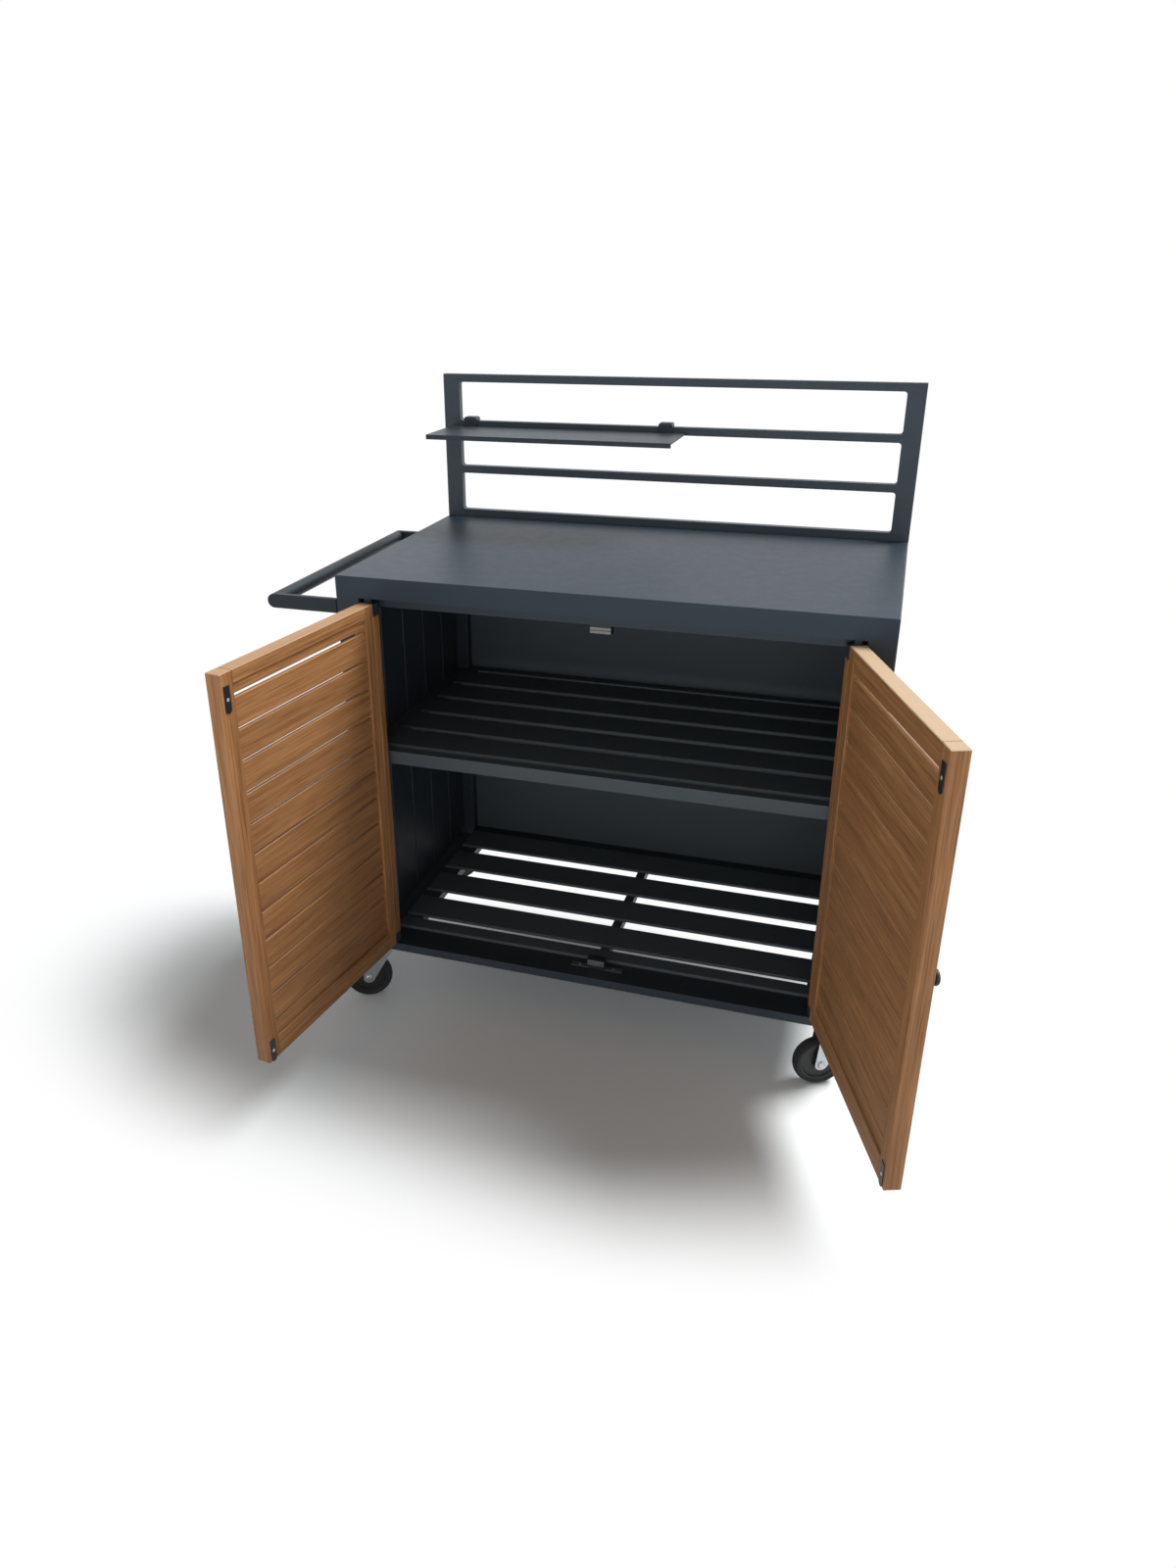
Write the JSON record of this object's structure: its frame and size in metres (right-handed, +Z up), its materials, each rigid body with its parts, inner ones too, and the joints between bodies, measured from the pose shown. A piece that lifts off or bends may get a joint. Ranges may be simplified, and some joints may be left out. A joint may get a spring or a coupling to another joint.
{
  "type": "storage trolley",
  "caption": "Outdoor kitchen storage trolley: coated metal cabinet on swivel casters with pivoted slatted wooden doors, a slatted shelf, a push handle and a rail rack with a hook-on shelf.",
  "frame": {"origin": "middle of the worktop's flat upper face; the floor under the wheels is at z = -0.936 m", "axes": "+Z up, +X to the right of someone who faces the doors, +Y to the back with the rack, front towards -Y"},
  "size_m": [1.2592, 1.0061, 1.241],
  "materials": {
    "coated_metal": "anthracite fine-texture powder coat on aluminium, satin",
    "teak": "oiled teak, planed, matt",
    "black_plastic": "moulded, matt",
    "black_steel": "black coated plate",
    "steel": "plain stainless steel",
    "zinc": "bright zinc plating",
    "wheel_plastic": "moulded wheel centre",
    "tyre_rubber": "black rubber tread"
  },
  "bodies": {
    "cabinet": {"back_panel": "coated_metal", "base_front_rail": "coated_metal", "base_rear_rail": "coated_metal", "base_side_rails": "coated_metal", "caster_stems": "zinc", "catch_plates": "steel", "catch_screws": "steel", "deck_bearer": "coated_metal", "deck_slats": "coated_metal", "front_left_post": "coated_metal", "front_right_post": "coated_metal", "handle_arms": "coated_metal", "handle_bar": "coated_metal", "left_side_panel": "coated_metal", "lower_catch": "black_plastic", "pivot_pins": "black_steel", "rack_posts": "coated_metal", "rack_rails": "coated_metal", "rear_left_post": "coated_metal", "rear_right_post": "coated_metal", "right_side_panel": "coated_metal", "shelf_long_rails": "coated_metal", "shelf_side_rails": "coated_metal", "shelf_slats": "coated_metal", "top_stop_rail": "coated_metal", "upper_catch": "black_plastic", "worktop": "coated_metal"},
    "left_door": {"left_door_batten": "teak", "left_door_knob": "black_plastic", "left_door_rails": "teak", "left_door_slats": "teak", "left_door_stiles": "teak", "left_pivot_blocks": "black_plastic", "left_strike_plates": "black_steel", "left_strike_screws": "steel"},
    "right_door": {"right_door_batten": "teak", "right_door_knob": "black_plastic", "right_door_rails": "teak", "right_door_slats": "teak", "right_door_stiles": "teak", "right_pivot_blocks": "black_plastic", "right_strike_plates": "black_steel", "right_strike_screws": "steel"},
    "hook_shelf": {"hook_shelf": "coated_metal"},
    "front_left_caster": {"front_left_fork": "zinc", "front_left_axle": "zinc"},
    "front_left_wheel": {"front_left_hub": "wheel_plastic", "front_left_tyre": "tyre_rubber"},
    "front_right_caster": {"front_right_fork": "zinc", "front_right_axle": "zinc"},
    "front_right_wheel": {"front_right_hub": "wheel_plastic", "front_right_tyre": "tyre_rubber"},
    "rear_left_caster": {"rear_left_fork": "zinc", "rear_left_axle": "zinc"},
    "rear_left_wheel": {"rear_left_hub": "wheel_plastic", "rear_left_tyre": "tyre_rubber"},
    "rear_right_caster": {"rear_right_fork": "zinc", "rear_right_axle": "zinc"},
    "rear_right_wheel": {"rear_right_hub": "wheel_plastic", "rear_right_tyre": "tyre_rubber"}
  },
  "joints": [
    {"name": "left_door_hinge", "type": "hinge", "parent": "cabinet", "child": "left_door", "pos_m": [-0.439, -0.2775, -0.4155], "axis": [0, 0, -1], "range_deg": [-97.4, 14.6]},
    {"name": "right_door_hinge", "type": "hinge", "parent": "cabinet", "child": "right_door", "pos_m": [0.439, -0.2775, -0.4155], "axis": [0, 0, 1], "range_deg": [-110.6, 1.4]},
    {"name": "hook_shelf_slide", "type": "slide", "parent": "cabinet", "child": "hook_shelf", "axis": [1, 0, 0], "range_m": [-0.003, 0.449]},
    {"name": "front_left_swivel", "type": "hinge", "parent": "cabinet", "child": "front_left_caster", "pos_m": [-0.4765, -0.264, -0.814], "axis": [0, 0, 1], "continuous": true},
    {"name": "front_left_roll", "type": "hinge", "parent": "front_left_caster", "child": "front_left_wheel", "pos_m": [-0.50278, -0.27626, -0.886], "axis": [0.4226, -0.9063, 0], "continuous": true},
    {"name": "front_right_swivel", "type": "hinge", "parent": "cabinet", "child": "front_right_caster", "pos_m": [0.4765, -0.264, -0.814], "axis": [0, 0, 1], "continuous": true},
    {"name": "front_right_roll", "type": "hinge", "parent": "front_right_caster", "child": "front_right_wheel", "pos_m": [0.45043, -0.27671, -0.886], "axis": [0.4384, -0.8988, 0], "continuous": true},
    {"name": "rear_left_swivel", "type": "hinge", "parent": "cabinet", "child": "rear_left_caster", "pos_m": [-0.4765, 0.264, -0.814], "axis": [0, 0, 1], "continuous": true},
    {"name": "rear_left_roll", "type": "hinge", "parent": "rear_left_caster", "child": "rear_left_wheel", "pos_m": [-0.50319, 0.25267, -0.886], "axis": [0.3907, -0.9205, 0], "continuous": true},
    {"name": "rear_right_swivel", "type": "hinge", "parent": "cabinet", "child": "rear_right_caster", "pos_m": [0.4765, 0.264, -0.814], "axis": [0, 0, 1], "continuous": true},
    {"name": "rear_right_roll", "type": "hinge", "parent": "rear_right_caster", "child": "rear_right_wheel", "pos_m": [0.45089, 0.25039, -0.886], "axis": [0.4695, -0.8829, 0], "continuous": true}
  ]
}
